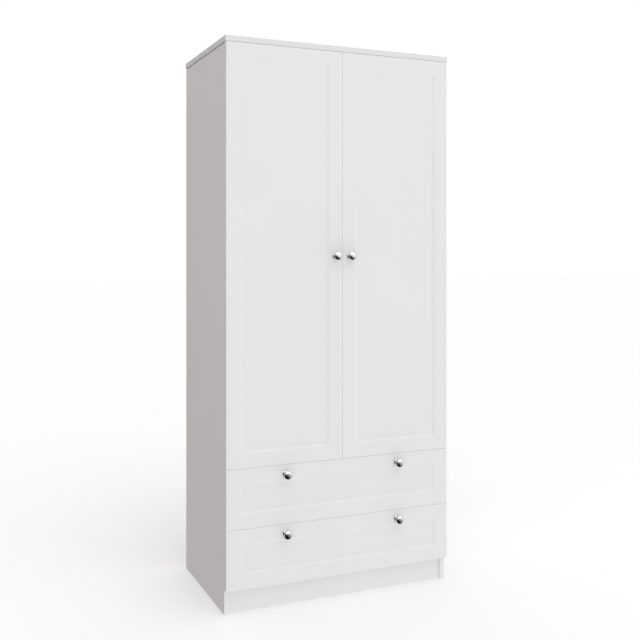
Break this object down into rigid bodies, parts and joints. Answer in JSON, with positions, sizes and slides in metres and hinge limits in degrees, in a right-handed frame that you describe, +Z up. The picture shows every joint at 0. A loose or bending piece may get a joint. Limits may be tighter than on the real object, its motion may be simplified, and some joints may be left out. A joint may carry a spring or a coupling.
{
  "type": "wardrobe with doors",
  "caption": "Tall white wardrobe with hinged framed doors over full-width drawers, round polished knobs, a hanging rail, a hat shelf and a recessed plinth.",
  "frame": {"origin": "on the floor, under the middle of the whole object's box, knobs included", "axes": "+Z up; the doors and drawers face -Y; +X is the right-hand side seen from the front"},
  "size_m": [0.8848, 0.557, 2],
  "materials": {
    "white_front": "satin white foil on milled fibreboard",
    "white_top": "satin white foil on board",
    "white_carcass": "satin white foil on particle board",
    "white_drawer_box": "matt white foil on particle board",
    "thin_board": "hard fibreboard, white lacquer inside, raw brown outside",
    "white_plastic": "matt",
    "chrome": "polished",
    "nickel_steel": "nickel plated",
    "coated_steel": "white powder coat"
  },
  "bodies": {
    "root": {"side_panel_left": "white_carcass", "side_panel_right": "white_carcass", "top_panel": "white_top", "bottom_panel": "white_carcass", "middle_shelf": "white_carcass", "hat_shelf": "white_carcass", "plinth_front": "white_carcass", "plinth_rear": "white_carcass", "back_panel_lower": "thin_board", "back_panel_upper": "thin_board", "back_joint_strip": "white_plastic", "hanging_rail": "chrome", "rail_socket_left": "chrome", "rail_socket_right": "chrome", "hinge_arm_left_lower": "nickel_steel", "hinge_arm_left_middle": "nickel_steel", "hinge_arm_left_upper": "nickel_steel", "hinge_arm_right_lower": "nickel_steel", "hinge_arm_right_middle": "nickel_steel", "hinge_arm_right_upper": "nickel_steel", "runner_cabinet_lower_left": "coated_steel", "runner_cabinet_lower_right": "coated_steel", "runner_cabinet_upper_left": "coated_steel", "runner_cabinet_upper_right": "coated_steel"},
    "door_left": {"door_left": "white_front", "hinge_cup_left_lower": "nickel_steel", "hinge_cup_left_middle": "nickel_steel", "hinge_cup_left_upper": "nickel_steel", "knob_door_left": "chrome"},
    "door_right": {"door_right": "white_front", "hinge_cup_right_lower": "nickel_steel", "hinge_cup_right_middle": "nickel_steel", "hinge_cup_right_upper": "nickel_steel", "knob_door_right": "chrome"},
    "hinge_links_left": {"hinge_link_left_lower": "nickel_steel", "hinge_link_left_middle": "nickel_steel", "hinge_link_left_upper": "nickel_steel"},
    "hinge_links_right": {"hinge_link_right_lower": "nickel_steel", "hinge_link_right_middle": "nickel_steel", "hinge_link_right_upper": "nickel_steel"},
    "drawer_lower": {"drawer_lower_front": "white_front", "drawer_lower_side_left": "white_drawer_box", "drawer_lower_side_right": "white_drawer_box", "drawer_lower_back": "white_drawer_box", "drawer_lower_bottom": "thin_board", "runner_drawer_lower_left": "coated_steel", "runner_drawer_lower_right": "coated_steel", "knob_drawer_lower_left": "chrome", "knob_drawer_lower_right": "chrome"},
    "drawer_upper": {"drawer_upper_front": "white_front", "drawer_upper_side_left": "white_drawer_box", "drawer_upper_side_right": "white_drawer_box", "drawer_upper_back": "white_drawer_box", "drawer_upper_bottom": "thin_board", "runner_drawer_upper_left": "coated_steel", "runner_drawer_upper_right": "coated_steel", "knob_drawer_upper_left": "chrome", "knob_drawer_upper_right": "chrome"}
  },
  "joints": [
    {"name": "door_left_hinge", "type": "hinge", "parent": "root", "child": "door_left", "pos_m": [-0.435, -0.2335, 1.2], "axis": [0, 0, -1], "range_deg": [0, 100]},
    {"name": "door_right_hinge", "type": "hinge", "parent": "root", "child": "door_right", "pos_m": [0.435, -0.2335, 1.2], "axis": [0, 0, 1], "range_deg": [0, 100]},
    {"name": "links_left_pivot", "type": "hinge", "parent": "root", "child": "hinge_links_left", "pos_m": [-0.4185, -0.219, 1.2], "axis": [0, 0, -1], "range_deg": [0, 50]},
    {"name": "links_right_pivot", "type": "hinge", "parent": "root", "child": "hinge_links_right", "pos_m": [0.4185, -0.219, 1.2], "axis": [0, 0, 1], "range_deg": [0, 50]},
    {"name": "drawer_lower_slide", "type": "slide", "parent": "root", "child": "drawer_lower", "axis": [0, -1, 0], "range_m": [0, 0.35]},
    {"name": "drawer_upper_slide", "type": "slide", "parent": "root", "child": "drawer_upper", "axis": [0, -1, 0], "range_m": [0, 0.35]}
  ],
  "couplings": [
    {"joint": "links_left_pivot", "follows": "door_left_hinge", "ratio": 0.5},
    {"joint": "links_right_pivot", "follows": "door_right_hinge", "ratio": 0.5}
  ]
}
